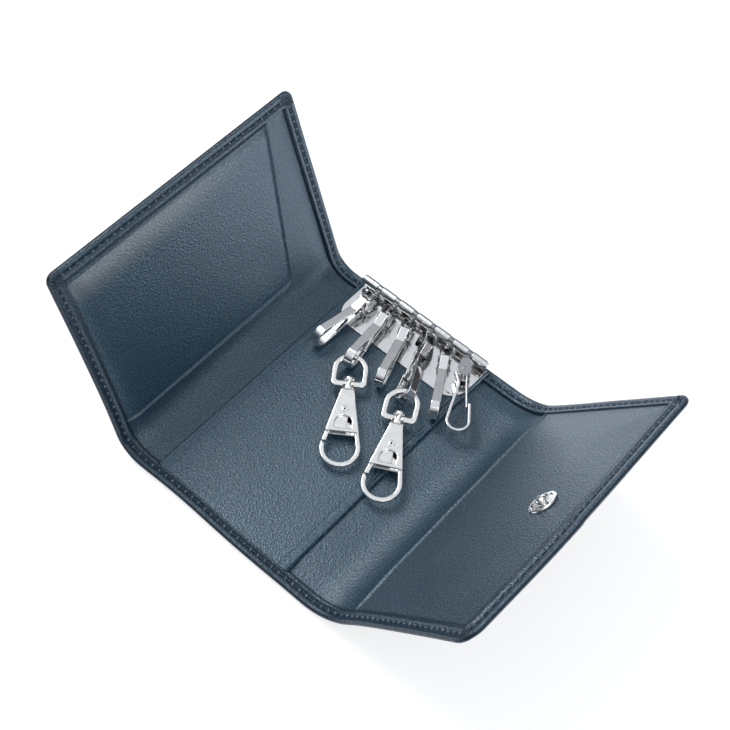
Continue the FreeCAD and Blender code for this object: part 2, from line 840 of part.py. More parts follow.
def make_hook_gate(hook):
    """A spring gate: two ears on the pin and a strip whose tip lies inside the nose."""
    body = new_body(f"HookGate{hook}")
    half, strip = strip_half, size("gate_strip")
    ear, waist = size("ear_radius"), size("neck_offset")
    tip = size("nose_reach") + size("gate_overlap")
    face = size("nose_offset") - half - size("gate_clearance")
    side = new_sketch(body, "YZ_Plane")
    outline(side, [
        hook_point(ZERO, -ear),
        hook_point(ZERO, ZERO),
        hook_point(ear, strip - ear),
        hook_point(size("neck_reach"), strip - waist - strip / 2),
        hook_point(tip, strip - face),
        hook_point(tip, -face),
        hook_point(size("neck_reach"), -(waist + strip / 2)),
    ])
    pad(body, side, size("strip_width"), symmetric=True)
    ears = new_sketch(body, "YZ_Plane")
    circle(ears, *hook_point(ZERO, ZERO), ear)
    pad(body, ears, size("strip_width"), symmetric=True)
    room = size("eye_radius") + size("gate_clearance")
    slot = new_sketch(body, "YZ_Plane")
    low_y, low_z = hook_point(room, -room * 2)
    high_y, high_z = hook_point(-room, room)
    rectangle(slot, (low_y, low_z), (high_y, high_z))
    cut(body, slot, size("eye_width") + size("running_clearance") * 2)
    bore = new_sketch(body, "YZ_Plane")
    circle(bore, *hook_point(ZERO, ZERO), size("pin_radius") + size("running_clearance"))
    cut(body, bore)
    keep(body, f"hook_{hook}_gate", hook_placement(hook))


def clasp_placement(clasp):
    """A clasp's frame: the middle of its ring's band, inside the bottom of its hook."""
    hook = int(size(f"clasp_hook_{clasp}").value)
    inner = size("loop_centre") + size("loop_radius") - size("strip")
    reach = inner - size("ring_band") / 2 - size("clasp_hang_gap")
    y, z = hook_point(reach, ZERO)
    start = hook_placement(hook).multVec(Vector(0, y.value, z.value))
    lean = Rotation(Vector(0, 0, 1), size(f"clasp_lean_angle_{clasp}").value)
    slope = Rotation(Vector(1, 0, 0), size("clasp_slope_angle").value)
    return Placement(start, lean.multiply(slope))


ring_start = -(size("ring_band") / 2)
bar_end = ring_start + size("ring_length")
bar_start = bar_end - size("ring_bar")
body_start = bar_end + size("post_clearance") + size("collar")
body_end = body_start + size("body_length")
loop_middle = body_end + size("clasp_loop_drop")
rivet_reach = body_start + size("clasp_rivet_reach")


def arched_frame(sketch, half, top, bottom, corner):
    """An upright frame: a half-round top, straight sides and a flat bottom."""
    spring = top + half
    outline(sketch, [
        (-half, -spring, half, CCW),
        (-half, corner - bottom),
        (corner - half, -bottom, corner, CCW),
        (half - corner, -bottom),
        (half, corner - bottom, corner, CCW),
        (half, -spring),
        (ZERO, -top, half, CCW),
    ])


def make_clasp_ring(clasp, place):
    """The ring: an arched frame whose lower bar is drilled for the swivel post."""
    body = new_body(f"ClaspRing{clasp}")
    half, band, corner = size("ring_width") / 2, size("ring_band"), size("ring_corner_radius")
    frame = new_sketch(body, "XY_Plane")
    arched_frame(frame, half, ring_start, bar_end, corner)
    pad(body, frame, size("ring_thickness"), symmetric=True)
    inside = new_sketch(body, "XY_Plane")
    arched_frame(inside, half - band, ring_start + band, bar_start, corner / 2)
    cut(body, inside)
    hole = new_sketch(body, "XZ_Plane", bar_end)
    circle(hole, ZERO, ZERO, size("post_radius") + size("running_clearance"))
    cut(body, hole, size("ring_bar") * 3)
    keep(body, f"clasp_{clasp}_ring", place)


def make_clasp_post(clasp, place):
    """The swivel post: a head inside the ring, a shank through its bar and a collar."""
    gap = size("post_clearance")
    body = new_body(f"ClaspPost{clasp}")
    head_end = bar_start - gap
    outline(new_sketch(body, "XZ_Plane"), [
        (ZERO, -body_start),
        (size("collar_radius"), -body_start),
        (size("collar_radius"), -(bar_end + gap)),
        (size("post_radius"), -(bar_end + gap)),
        (size("post_radius"), -head_end),
        (size("post_head_radius"), -head_end),
        (size("post_head_radius"), size("post_head") / 2 - head_end),
        (size("post_head_radius") - size("post_head") / 2, size("post_head") - head_end,
         size("post_head") / 2, CCW),
        (ZERO, size("post_head") - head_end),
    ])
    doc.recompute()
    revolve(body, body.Group[0])
    upright = Placement(Vector(), Rotation(Vector(1, 0, 0), -90))
    keep(body, f"clasp_{clasp}_post", place.multiply(upright))


def ring_point(radius, angle):
    """A point on the clasp's loop; angle 0 points along +X and 90 back to the ring."""
    return radius * cosine(angle), radius * sine(angle) - loop_middle


def body_side(reach, inset=ZERO):
    """Half the clasp's width at a reach along it, less an inset square to its straight side."""
    flare = size("clasp_flare_angle")
    rise = (loop_middle - reach) * sine(flare)
    return (size("clasp_loop_radius") - inset - rise) / cosine(flare)


def drop_outline(sketch, start, inset):
    """A drop shape: straight sides from its start that run into the round end of the loop."""
    radius, flare = size("clasp_loop_radius") - inset, size("clasp_flare_angle")
    outline(sketch, [
        (-body_side(start, inset), -start),
        ring_point(radius, HALF_TURN - flare),
        ring_point(radius, THREE_QUARTERS) + (radius, CCW),
        ring_point(radius, flare) + (radius, CCW),
        (body_side(start, inset), -start),
    ])


def make_clasp_body(clasp, place):
    """The clasp: a drop-shaped loop open at one side, under a flat body slotted for the gate."""
    body = new_body(f"ClaspBody{clasp}")
    wire, gap = size("clasp_wire"), size("clasp_gate_gap")
    beyond = size("clasp_loop_radius") * 2
    loop = new_sketch(body, "XY_Plane")
    drop_outline(loop, body_start, ZERO)
    pad(body, loop, wire, symmetric=True)
    mouth = new_sketch(body, "XY_Plane")
    nose = body_end + size("mouth_reach") + gap
    under = nose + size("mouth_undercut")
    outline(mouth, [
        (ZERO, -under),
        (ZERO, wire - body_end),
        (-beyond, wire - body_end),
        (-beyond, -nose),
        (-body_side(nose), -nose),
        (-body_side(under, wire), -under),
    ])
    cut(body, mouth)
    plate = new_sketch(body, "XY_Plane")
    outline(plate, [
        (-body_side(body_start), -body_start),
        (-body_side(body_end), -body_end),
        (body_side(body_end), -body_end),
        (body_side(body_start), -body_start),
    ])
    pad(body, plate, size("body_thickness"), symmetric=True)
    hollow = new_sketch(body, "XY_Plane")
    drop_outline(hollow, body_end, wire)
    cut(body, hollow)
    slot = new_sketch(body, "XY_Plane")
    roof = rivet_reach - size("clasp_gate_eye_radius") - gap
    low = body_end + gap
    outline(slot, [
        (-beyond, -roof),
        (-beyond, -low),
        (body_side(low, wire), -low),
        (body_side(roof, wire), -roof),
    ])
    slot_width = size("clasp_gate_thickness") + gap * 2
    cut(body, slot, slot_width)
    cut_window(body, size("body_thickness") - slot_width)
    drill_rivet_hole(body)
    keep(body, f"clasp_{clasp}_body", place)


def cut_window(body, depth):
    """The round-topped window in the front of the body, over the gate's thumb plate."""
    half, start = size("window_width") / 2, body_start + size("window_start")
    sill = body_end - size("window_sill")
    window = new_sketch(body, "XY_Plane", size("body_thickness") / 2)
    arched_frame(window, half, start, sill, size("clasp_gate_gap"))
    cut(body, window, depth)


def drill_rivet_hole(body):
    hole = new_sketch(body, "XY_Plane")
    circle(hole, ZERO, -rivet_reach, size("clasp_rivet_radius") + size("running_clearance"))
    cut(body, hole)


def make_clasp_gate(clasp, place):
    """The gate: an eye on the rivet, a thumb plate behind the window and an arm across the mouth."""
    body = new_body(f"ClaspGate{clasp}")
    eye, wire = size("clasp_gate_eye_radius"), size("clasp_wire")
    tip = body_end + size("mouth_reach")
    thumb_start, thumb_end = rivet_reach + eye, body_end - size("window_sill")
    thumb = size("thumb_reach")
    arm = new_sketch(body, "XY_Plane")
    outline(arm, [
        (eye, -rivet_reach),
        (-eye, -rivet_reach),
        (-body_side(thumb_start), -thumb_start),
        (-body_side(tip), -tip),
        (-body_side(tip, wire), -tip),
        (-body_side(thumb_end, wire), -thumb_end),
        (thumb, -thumb_end),
    ])
    pad(body, arm, size("clasp_gate_thickness"), symmetric=True)
    hub = new_sketch(body, "XY_Plane")
    circle(hub, ZERO, -rivet_reach, eye)
    pad(body, hub, size("clasp_gate_thickness"), symmetric=True)
    drill_rivet_hole(body)
    keep(body, f"clasp_{clasp}_gate", place)


def make_clasp_rivet(clasp, place):
    """The gate's hollow rivet, headed on both faces of the clasp."""
    half, head = size("body_thickness") / 2, size("clasp_rivet_head")
    spots = (
        (size("clasp_rivet_radius"), -half, half * 2),
        (size("clasp_rivet_head_radius"), half, head),
        (size("clasp_rivet_head_radius"), -half - head, head),
    )
    turned = []
    for radius, z, span in spots:
        turned.append(cylinder(radius, span, Placement(Vector(0, -rivet_reach.value, z.value), Rotation())))
    length = (half + head) * 2
    at = Vector(0, -rivet_reach.value, -length.value / 2)
    rivet = doc.addObject("Part::Cut", f"ClaspRivet{clasp}")
    rivet.Base = fuse(turned, f"ClaspRivetBody{clasp}")
    rivet.Tool = cylinder(size("clasp_rivet_bore"), length, Placement(at, Rotation()))
    keep(rivet, f"clasp_{clasp}_rivet", place)


def make_clasp(clasp):
    place = clasp_placement(clasp)
    make_clasp_ring(clasp, place)
    make_clasp_post(clasp, place)
    make_clasp_body(clasp, place)
    make_clasp_gate(clasp, place)
    make_clasp_rivet(clasp, place)


def check_and_write():
    """Stop on any failed object, then write each piece to its own file."""
    doc.recompute()
    for item in doc.Objects:
        if "Invalid" in item.State or "Error" in item.State:
            raise RuntimeError(f"{item.Label} failed: {item.State}")
    os.makedirs("parts", exist_ok=True)
    for piece in pieces:
        if piece.Shape.isNull() or not piece.Shape.isValid():
            raise RuntimeError(f"{piece.Label} has no valid shape")
        piece.Shape.exportStep(f"parts/{piece.Label}.step")


make_centre()
for fold_side, fold_title, fold_label in ((LEFT, "Left", "left"), (RIGHT, "Right", "right")):
    make_fold(fold_side, f"OuterFold{fold_title}", f"outer_leather_{fold_label}_fold",
              size("lining"), folded_leather, ZERO)
    make_fold(fold_side, f"LiningFold{fold_title}", f"lining_{fold_label}_fold",
              ZERO, size("lining"), size("lining_inset"))
post_hole = size("snap_post_radius") + size("snap_clearance")
make_flap(LEFT, "Left", "left", size("socket_bore_radius"))
make_flap(RIGHT, "Right", "right", post_hole)
make_bill_pocket()
make_card_pocket(post_hole)
make_snap()
make_rail()
make_rail_rod()
make_rail_rivets()
for number in HOOKS:
    make_tongue(number)
    make_stirrup(number)
    make_loop(number)
    make_hook_gate(number)
for number in CLASPS:
    make_clasp(number)
check_and_write()
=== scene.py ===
"""The looks of an open leather key case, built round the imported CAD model."""
import json
import math

import bpy
import numpy as np
from mathutils import Matrix, Vector


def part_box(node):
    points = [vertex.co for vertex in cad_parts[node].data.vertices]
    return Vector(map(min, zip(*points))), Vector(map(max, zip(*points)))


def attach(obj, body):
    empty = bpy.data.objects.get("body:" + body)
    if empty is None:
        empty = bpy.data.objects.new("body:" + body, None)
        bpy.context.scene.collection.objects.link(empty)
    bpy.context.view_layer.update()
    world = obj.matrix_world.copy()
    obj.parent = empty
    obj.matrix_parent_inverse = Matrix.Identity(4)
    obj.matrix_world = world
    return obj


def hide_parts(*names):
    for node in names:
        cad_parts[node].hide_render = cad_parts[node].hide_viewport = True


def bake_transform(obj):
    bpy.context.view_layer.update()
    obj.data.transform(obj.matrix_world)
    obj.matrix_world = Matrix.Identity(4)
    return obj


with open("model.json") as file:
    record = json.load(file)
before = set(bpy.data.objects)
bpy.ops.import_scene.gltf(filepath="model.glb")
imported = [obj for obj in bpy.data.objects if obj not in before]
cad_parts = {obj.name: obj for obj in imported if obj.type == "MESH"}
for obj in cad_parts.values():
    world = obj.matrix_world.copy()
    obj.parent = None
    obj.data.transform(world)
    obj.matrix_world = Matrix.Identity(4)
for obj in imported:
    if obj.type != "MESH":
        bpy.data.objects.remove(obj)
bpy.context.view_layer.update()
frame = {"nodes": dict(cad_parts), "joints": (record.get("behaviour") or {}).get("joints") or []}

# Sizes are millimetres, and meshes are made in metres.
# Leather heights are measured from the lining's inner face, and depths from the nearest edge of the case.
# A ridge is written as its height, its place and its width, and a range as its two ends.
MM = 0.001
TINY = 0.001

# The outer leather and its turned hem
HEM_WIDTH = 5.2
RIGHT_HEM_STRETCH = 1.3
HEM_TOP = 0.3
HEM_SINK = 0.7
HEM_FALL = (HEM_WIDTH - 0.7, HEM_WIDTH + 0.1)
HEM_RIDGE = (0.25, 3.9, 0.8)
HEM_WAVE = 0.06
HEM_WAVE_LENGTH = 19.0
EDGE_ROUND = 0.8
EDGE_THINNING = 0.5
THINNING_RANGE = (0.5, 7.0)
LEFT_CORNER = 3.2
RIGHT_NEAR_CORNER = 6.5
RIGHT_FAR_CORNER = 4.2
PLEAT_TURNS = 26
PLEAT_HEIGHT = 0.25
PLEAT_FROM_CREASE = (0.8, 2.0)
PLEAT_FROM_EDGE = (0.3, 1.0)

# Seam
STITCH_INSET = 2.6
STITCH_GROOVE = (0.55, STITCH_INSET, 0.65)
STITCH_PITCH = 2.9
STITCH_PHASE = 0.5
STITCH_LENGTH = 2.2
STITCH_WIDTH = 0.6
STITCH_CROWN = -0.12
STITCH_SINK = 0.3
BRIDGE_PHASE = 0.0
BRIDGE_LENGTH = 1.2
BRIDGE_WIDTH = 1.5
BRIDGE_CROWN = 0.12
BRIDGE_SINK = 0.35
BEAD_SIDES = 8
BEAD_RINGS = 7
BEAD_TIP = 0.2

# Lining, key patch and pockets
TUCK = 1.2
LINING_LEATHER = 0.7
LINING_WAVE = 0.12
LINING_WAVE_LENGTH = 31.0
WAVE_RANGE = (6.0, 14.0)
PRESS_DEPTH = 0.6
PRESS_RANGE = (4.0, 11.0)
POCKET_LEATHER = 0.8
TURN_ROLL = (0.32, 0.75, 0.55)
TURN_CREASE = (0.45, 1.6, 0.35)
UNDER_HEM = 1.7
PATCH_WAVE = 0.08
PATCH_WAVE_LENGTH = 27.0
PATCH_WAVE_RANGE = (2.0, 6.0)
PATCH_WELT = (0.45, 1.5, 1.1)
PATCH_SEAM = (0.2, 3.1, 0.4)
PATCH_WELT_FADE = 3.0
BILL_FROM_FOLD = 1.7
BILL_SLANT_LOW = 29.0
BILL_SLANT_HIGH = 39.5
BILL_CORNER = 4.0
BILL_BELLY = 0.1
BILL_BELLY_REACH = 30
BILL_MOUTH = 0.35
BILL_MOUTH_REACH = 25.0
BILL_SWELL = 1.35
BILL_SWELL_REACH = 7.5
BILL_SWELL_POWER = 2.0
BILL_SINK = 0.35
BILL_SEAM_RIDGE = (0.22, HEM_WIDTH + 0.4, 0.4)
BILL_SEAM_GROOVE = (0.12, HEM_WIDTH + 1.2, 0.4)
BILL_WAVE = 0.06
BILL_WAVE_LENGTH = 37.0
CARD_FROM_FOLD = 0.3
CARD_SWELL_REACH = 16.0
CARD_SWELL_POWER = 1.2
CARD_WAVE = 0.1
CARD_WAVE_LENGTH = 33.0

# Dark edge paint and painted shade on the leather, from 0 to 1, and a painted highlight band on the bill
# pocket beside the outer hem
# Painted shade in the crease along the hem: its strength, place and width
CREASE_SHADE = (0.75, HEM_WIDTH - 0.2, 0.4)
EDGE_PAINT_RANGE = (0.03, 0.1)
NEAR_EDGE_PAINT_RANGE = (0.1, 0.7)
NEAR_HEM_SHADE = 0.35
NEAR_HEM_SHADE_RANGE = (HEM_WIDTH - 1.0, HEM_WIDTH + 0.5)
PLEAT_SHADE = 0.8
HIGHLIGHT_BAND = 0.6
HIGHLIGHT_RISE = (HEM_WIDTH + 0.4, HEM_WIDTH + 2.0)
HIGHLIGHT_FALL = (8.0, 17.0)
HIGHLIGHT_FADE = (-15, 35)

# How the sewn outline strays from straight lines, as the photograph shows
OUTLINE_FADE = 20
BOW_MIDDLE = -12
BOW_NEAR_WAVE = 52
BOW_FAR_WAVE = 78
BOW_STEP = 0.5
BOW_STEP_RANGE = (-6, -3)
NEAR_SAGS = [(1.3, 25, 28), (0.75, -36, 15), (0.45, 0, 20), (0.5, 42, 10)]
LEFT_END_SAG = (0.4, 20)
RIGHT_END_SAG = (0.6, 15)
RIGHT_FLAP_SAG = 0.9
RIGHT_FLAP_SAG_RANGE = (58, 110)
FAR_PULL = 1.15
FAR_PULL_REACH = 8

# The photograph's view, found from the case's corners
CAMERA_AZIMUTH = 37.98
CAMERA_ELEVATION = 56.04
CAMERA_ROLL = 3.96
CAMERA_DISTANCE = 521.1
CAMERA_TARGET = (-5.7, 25.9, 0.0)
CAMERA_LENS = 76.93
CAMERA_CLIP = 10


# The unrolled case

JOINTS = {joint["name"]: joint for joint in frame["joints"]}
PANEL = JOINTS["left_fold_inner"]["pos_m"][2] / MM
HALF_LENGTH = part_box("outer_leather_centre")[1].y / MM


class Fold:
    """A fold and its flap, measured along the lining's inner face."""

    def __init__(self, name, side):
        start = Vector(JOINTS[f"{name}_fold_inner"]["pos_m"]) / MM
        end = Vector(JOINTS[f"{name}_fold_outer"]["pos_m"]) / MM
        run, rise = abs(end.x - start.x), end.z - start.z
        self.side = side
        self.start = abs(start.x)
        self.angle = 2 * math.atan2(rise, run)
        self.radius = run / math.sin(self.angle)
        self.length = self.radius * self.angle
        along = Vector((side * math.cos(self.angle), 0, math.sin(self.angle)))
        leather = frame["nodes"][f"outer_leather_{name}"].data.vertices
        self.flap = max((vertex.co / MM - end).dot(along) for vertex in leather)
        self.middle = self.start + self.length / 2
        self.end = self.start + self.length
        self.edge = self.end + self.flap


LEFT = Fold("left", -1)
RIGHT = Fold("right", 1)

# Where the sheets that are tucked under the hem end
TUCKED_LEFT = HEM_WIDTH - TUCK - LEFT.edge
TUCKED_RIGHT = RIGHT.edge - (HEM_WIDTH - TUCK) * RIGHT_HEM_STRETCH
TUCKED_SIDE = HALF_LENGTH - HEM_WIDTH + TUCK


def smooth_step(value, low, high):
    """Rises smoothly from 0 at low to 1 at high."""
    t = np.clip((value - low) / (high - low), 0, 1)
    return t * t * (3 - 2 * t)


def ridge(value, height, place_at, width):
    """A smooth rise of the given height and width."""
    return height * np.exp(-((value - place_at) / width) ** 2)


def sewn_outline(u, y):
    """The near edge sags, the right edge bows and the far right edge pulls in."""
    wave = np.where(y < BOW_MIDDLE, BOW_NEAR_WAVE, BOW_FAR_WAVE)
    bow = np.cos(np.pi * (y - BOW_MIDDLE) / wave) - BOW_STEP * smooth_step(y, *BOW_STEP_RANGE)
    sag = sum(ridge(u, *shape) for shape in NEAR_SAGS)
    sag = sag + RIGHT_FLAP_SAG * smooth_step(u, *RIGHT_FLAP_SAG_RANGE)
    for edge, (height, width) in ((-LEFT.edge, LEFT_END_SAG), (RIGHT.edge, RIGHT_END_SAG)):
        sag = sag + ridge(u, height, edge, width)
    pull = FAR_PULL * smooth_step(u, RIGHT.start, RIGHT.end + FAR_PULL_REACH)
    right = smooth_step(u, RIGHT.edge - OUTLINE_FADE, RIGHT.edge)
    near = smooth_step(-y, HALF_LENGTH - OUTLINE_FADE, HALF_LENGTH)
    far = smooth_step(y, HALF_LENGTH - OUTLINE_FADE, HALF_LENGTH)
    return u + bow * right, y - sag * near - pull * far


def place(u, y, height):
    """Points of the unrolled case in the frame, in metres."""
    u, y = sewn_outline(u, y)
    x, z = u, PANEL + height
    for fold in (LEFT, RIGHT):
        reach = fold.side * u - fold.start
        bend = np.clip(reach, 0, fold.length) / fold.radius
        beyond = np.maximum(reach - fold.length, 0)
        lever = fold.radius - height
        bent_x = fold.start + lever * np.sin(bend) + beyond * np.cos(bend)
        bent_z = PANEL + fold.radius - lever * np.cos(bend) + beyond * np.sin(bend)
        x = np.where(reach > 0, fold.side * bent_x, x)
        z = np.where(reach > 0, bent_z, z)
    return np.stack(np.broadcast_arrays(x, y, z), axis=-1) * MM


# Where the case's skins are cut, and the bodies given for each stretch; only a stretch with one body follows
# it
STRETCHES = [
    ("left", -LEFT.edge, -LEFT.end, "left_flap", None),
    ("left_fold_outer", -LEFT.end, -LEFT.middle, "left_spine", "left_flap"),
    ("left_fold_inner", -LEFT.middle, -LEFT.start, "centre_panel", "left_spine"),
    ("centre", -LEFT.start, RIGHT.start, "centre_panel", None),
    ("right_fold_inner", RIGHT.start, RIGHT.middle, "centre_panel", "right_spine"),
    ("right_fold_outer", RIGHT.middle, RIGHT.end, "right_spine", "right_flap"),
    ("right", RIGHT.end, RIGHT.edge, "right_flap", None),
]
CUTS = [stretch[1] for stretch in STRETCHES[1:]]

# Shares of half a fold's length from the hinge, for a blend between bodies that follow works out but doesn't
# use
BEND_START = 0.02
BEND_END = 0.6


def follow(piece, low, high, body, other):
    """Ties a skin to its body. A skin on half a fold, beside the hinge, only has its transform baked into
    its mesh and is tied to no body.
    """
    if other is None:
        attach(piece, body)
        return
    near, far = (low, high) if low > 0 else (high, low)
    bend = (BEND_START, BEND_END) if body == "centre_panel" else (1 - BEND_END, 1 - BEND_START)
    start, end = (place(near + (far - near) * share, 0.0, 0.0) for share in bend)
    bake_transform(piece)


# Sheets of leather as closed grids

GRID_STEP = 1.5


def grid_lines(low, high, low_steps, high_steps, stops=()):
    """Coordinates from low to high: the given steps at both edges, even ones between."""
    anchors = [low + offset for offset in low_steps] + [high - offset for offset in high_steps]
    anchors = sorted(set(anchors) | set(stops))
    values = [anchors[0]]
    for start, end in zip(anchors, anchors[1:]):
        count = max(1, math.ceil((end - start) / GRID_STEP))
        values += [start + (end - start) * i / count for i in range(1, count + 1)]
    return np.array(values)


def even_steps(low, high, step):
    """Offsets from low to high, both included."""
    return list(np.arange(low, high + step / 2, step))


def rounded_steps(reach, count):
    """Offsets from an edge that follow a round profile."""
    return [reach * (1 - math.cos(math.pi / 2 * i / count)) for i in range(count + 1)]


# Offsets of the grid lines from the edges of the shell, the lining, the patch and the pockets
SHELL_STEPS = rounded_steps(EDGE_ROUND, 6) + even_steps(1.1, 4.4, 0.3) + even_steps(4.6, 5.4, 0.2) + [5.9]
LINING_STEPS = even_steps(0, 4.0, 0.8) + even_steps(5.0, 8.0, 1.0)
HEM_STEPS = [0, 0.4] + even_steps(0.8, 2.6, 0.3) + [3.0, 3.5]
ROUND_STEPS = rounded_steps(POCKET_LEATHER, 4)
TURN_STEPS = ROUND_STEPS + even_steps(1.1, 1.85, 0.25) + [2.2]
WELT_STEPS = ROUND_STEPS + even_steps(1.2, 4.0, 0.4)
PATCH_END_STEPS = even_steps(0, 1.6, 0.8)


def grid_normals(points):
    """Unit normals of a grid of points, on the side that a sheet's top shows."""
    along = np.gradient(points, axis=0)
    across = np.gradient(points, axis=1)
    normals = np.cross(along, across)
    return normals / np.linalg.norm(normals, axis=-1, keepdims=True)


def border(shape):
    """True for the outermost points of a grid."""
    mask = np.ones(shape, bool)
    mask[1:-1, 1:-1] = False
    return mask


class Sheet:
    """A closed sheet of leather over an unrolled grid, with its smooth normals."""

    def __init__(self, u, y, top, bottom, paint=None):
        self.u, self.y = u, y
        self.paint = np.zeros(u.shape) if paint is None else paint
        self.top, self.bottom = place(u, y, top), place(u, y, bottom)
        self.normals = grid_normals(self.top)
        self.under = -grid_normals(self.bottom)
        self.joined = border(u.shape) & (np.abs(top - bottom) < TINY)
        edge = self.normals + self.under
        edge /= np.maximum(np.linalg.norm(edge, axis=-1, keepdims=True), TINY)
        self.normals[self.joined] = edge[self.joined]
        self.under[self.joined] = edge[self.joined]

    def mesh(self, name, low=0, high=None):
        """A mesh of the grid's rows from low to high, with walls where it isn't joined."""
        rows = slice(low, high)
        top, bottom, joined = self.top[rows], self.bottom[rows], self.joined[rows]
        count, width = joined.shape
        over = np.arange(count * width).reshape(count, width)
        under = np.where(joined, over, over + count * width)
        faces = []
        corner_normals = []

        def add(corners, normals=None):
            kept = [i for i, corner in enumerate(corners) if corner not in corners[:i]]
            if len(kept) < 3:
                return
            faces.append([int(corners[i]) for i in kept])
            corner_normals.append(None if normals is None else [normals[i] for i in kept])

        ups, downs = self.normals[rows], self.under[rows]
        for i in range(count - 1):
            for j in range(width - 1):
                ring = [(i, j), (i + 1, j), (i + 1, j + 1), (i, j + 1)]
                add([over[k] for k in ring], [ups[k] for k in ring])
                ring.reverse()
                add([under[k] for k in ring], [downs[k] for k in ring])
        for i in range(count - 1):
            for j, turn in ((0, 1), (width - 1, -1)):
                wall = [over[i + 1, j], over[i, j], under[i, j], under[i + 1, j]]
                add(wall[::turn])
        for j in range(width - 1):
            for i, turn in ((0, 1), (count - 1, -1)):
                wall = [over[i, j], over[i, j + 1], under[i, j + 1], under[i, j]]
                add(wall[::turn])

        points = np.concatenate([top.reshape(-1, 3), bottom.reshape(-1, 3)])
        flat = np.stack([self.u[rows], self.y[rows]], axis=-1).reshape(-1, 2) * MM
        flat = np.concatenate([flat, flat])
        paint = np.tile(self.paint[rows].reshape(-1), 2)
        return skin_mesh(name, points, faces, corner_normals, flat, paint)


def skin_mesh(name, points, faces, corner_normals, flat, paint):
    """An object from points and faces, with corner normals, unrolled coordinates, and edge paint with
    painted shade and painted highlight.
    """
    used = sorted({corner for face in faces for corner in face})
    renumber = {old: new for new, old in enumerate(used)}
    faces = [[renumber[corner] for corner in face] for face in faces]
    mesh = bpy.data.meshes.new(name)
    mesh.from_pydata([tuple(points[i]) for i in used], [], faces)
    paint_and_light_layer = mesh.attributes.new("edge_paint_and_painted_light", "FLOAT", "POINT")
    paint_and_light_layer.data.foreach_set("value", paint[used])
    layer = mesh.uv_layers.new(name="unrolled")
    for polygon in mesh.polygons:
        polygon.use_smooth = True
        for loop in polygon.loop_indices:
            layer.data[loop].uv = flat[used[mesh.loops[loop].vertex_index]]
    normals = []
    for polygon, given in zip(mesh.polygons, corner_normals):
        normals += given if given is not None else [polygon.normal] * len(polygon.vertices)
    mesh.normals_split_custom_set([tuple(normal) for normal in normals])
    return add_object(name, mesh)


def add_object(name, data):
    """A new object in the scene."""
    item = bpy.data.objects.new(name, data)
    bpy.context.scene.collection.objects.link(item)
    return item


# Directions, pace and phase of the slow waves in leather
RIPPLE_WAVES = [(0.83, 0.56, 1.0, 0.0), (0.37, -0.91, 1.37, 1.9), (-0.62, 0.29, 0.61, 4.1)]


def ripple(u, y, length):
    """Slow waves of leather that was bent and pressed, from -1 to 1."""
    turn = 2 * math.pi / length
    waves = [np.sin((u * along_u + y * along_y) * turn * pace + phase)
             for along_u, along_y, pace, phase in RIPPLE_WAVES]
    return sum(waves) / len(waves)


def edge_round(depth, radius):
    """Share of a sheet's full thickness at a depth in from its round edge."""
    inside = np.clip((radius - depth) / radius, 0, 1)
    return np.sqrt(1 - inside ** 2)


def corner_shift(in_u, in_y, radius):
    """Shifts that turn a square corner into a round one: squares become circles."""
    a = np.clip(radius - in_u, 0, None)
    b = np.clip(radius - in_y, 0, None)
    corner = (a > 0) & (b > 0)
    shrink = np.where(corner, np.maximum(a, b) / np.maximum(np.hypot(a, b), TINY), 1)
    return a * (1 - shrink), b * (1 - shrink)


def add_stretches(sheet, u_lines, prefix, layer, material):
    """A sheet that runs across the case, cut at the folds. Both halves of a fold stand for one CAD node."""
    for name, low, high, body, other in STRETCHES:
        first = int(np.argmin(np.abs(u_lines - low)))
        last = int(np.argmin(np.abs(u_lines - high)))
        piece = sheet.mesh(f"{prefix}_{name}", first, last + 1)
        piece.data.materials.append(material)
        follow(piece, low, high, body, other)
        node = name.replace("_outer", "").replace("_inner", "")
        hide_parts(f"{layer}_{node}")


# Shell of outer leather with its turned hem

def hem_depth(u, y):
    """How far in from the nearest edge of the case. The hem is wider along the right edge."""
    right = (RIGHT.edge - u) / RIGHT_HEM_STRETCH
    return np.minimum(np.minimum(u + LEFT.edge, right), HALF_LENGTH - np.abs(y))


def painted_crease_shade(u, y):
    """Painted shade in the crease along the hem."""
    return ridge(hem_depth(u, y), *CREASE_SHADE)


def hem_wave(u, y):
    return HEM_WAVE * ripple(u, y, HEM_WAVE_LENGTH)


def hem_height(u, y, depth):
    """Top of the hem over the lining's face, at a depth in from the edge."""
    crown = HEM_TOP + ridge(depth, *HEM_RIDGE) + hem_wave(u, y) - ridge(depth, *STITCH_GROOVE)
    drop = smooth_step(depth, *HEM_FALL)
    return crown * (1 - drop) - HEM_SINK * drop


def outer_height(depth):
    """Outer face of the leather, which thins towards the sewn edge."""
    thin = EDGE_THINNING * (1 - smooth_step(depth, *THINNING_RANGE))
    return thin - PANEL + ridge(depth, *STITCH_GROOVE) / 2


def corner_pleats(in_u, in_y, depth):
    """The fan of pleats where the hem is gathered round a corner, from -1 to 1."""
    to_u, to_y = HEM_WIDTH - in_u, HEM_WIDTH - in_y
    fan = np.where((to_u > 0) & (to_y > 0), np.sin(PLEAT_TURNS * np.arctan2(to_y, to_u)), 0)
    return fan * smooth_step(np.hypot(to_u, to_y), *PLEAT_FROM_CREASE) * smooth_step(depth, *PLEAT_FROM_EDGE)


def shell_paint_and_shade(y, depth, pleats):
    """Dark edge paint on the cut edge and the near edge, painted shade in the crease and between the pleats,
    and a thin painted shade on the near hem.
    """
    from_near = HALF_LENGTH + y
    paint_and_shade_marks = [
        1 - smooth_step(depth, *EDGE_PAINT_RANGE),
        # Painted shade in the crease
        ridge(depth, *CREASE_SHADE),
        # Painted shade in the valleys between the pleats
        -PLEAT_SHADE * pleats,
        1 - smooth_step(from_near, *NEAR_EDGE_PAINT_RANGE),
        # Painted shade on the near hem
        NEAR_HEM_SHADE * (1 - smooth_step(from_near, *NEAR_HEM_SHADE_RANGE)),
    ]
    return np.maximum.reduce(paint_and_shade_marks)


